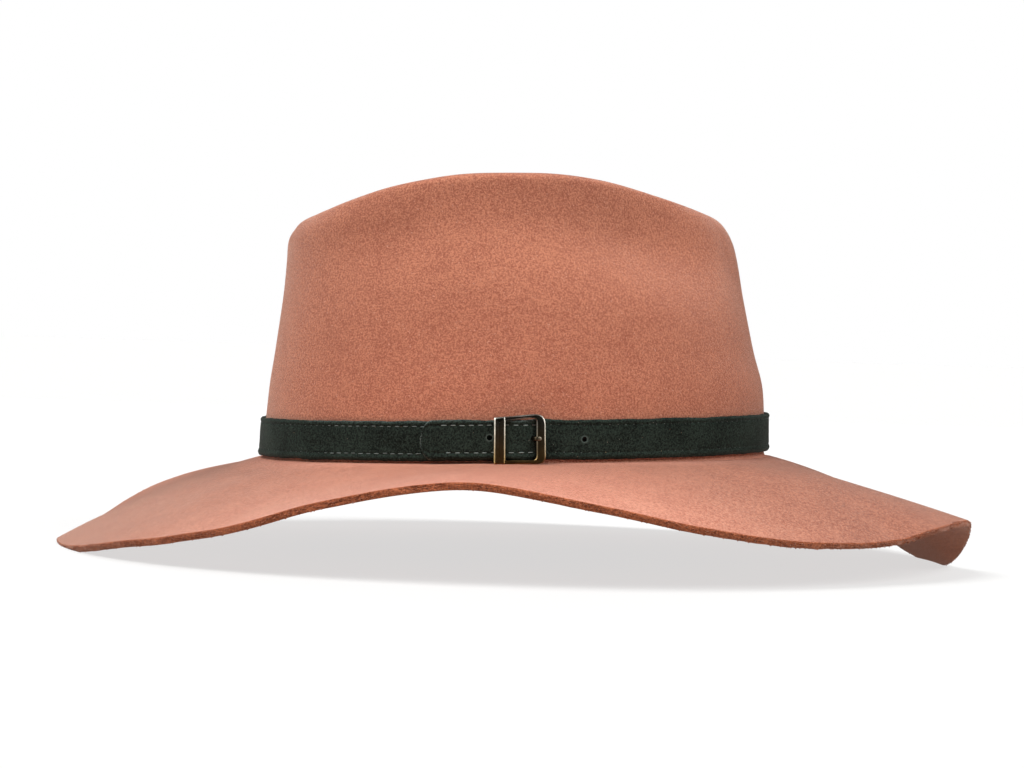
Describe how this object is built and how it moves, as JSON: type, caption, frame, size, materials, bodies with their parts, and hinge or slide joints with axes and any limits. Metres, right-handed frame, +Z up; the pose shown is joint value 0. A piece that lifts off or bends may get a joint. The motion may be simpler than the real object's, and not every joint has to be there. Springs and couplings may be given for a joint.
{
  "type": "rancher hat",
  "caption": "Wide-brimmed blocked felt hat with a sunken, front-pinched crown and a narrow suede belt with a buckle.",
  "frame": {"origin": "on the surface the hat stands on, below the middle of its outline", "axes": "+X to the front of the hat, +Y to the wearer's left, +Z up"},
  "size_m": [0.3672, 0.353, 0.1534],
  "materials": {
    "felt": "brushed wool felt",
    "suede": "napped suede",
    "antique_brass": "dark antiqued with rubbed edges"
  },
  "bodies": {
    "root": {"felt_body": "felt", "band_strap": "suede", "buckle_frame": "antique_brass", "buckle_prong": "antique_brass"}
  },
  "joints": []
}
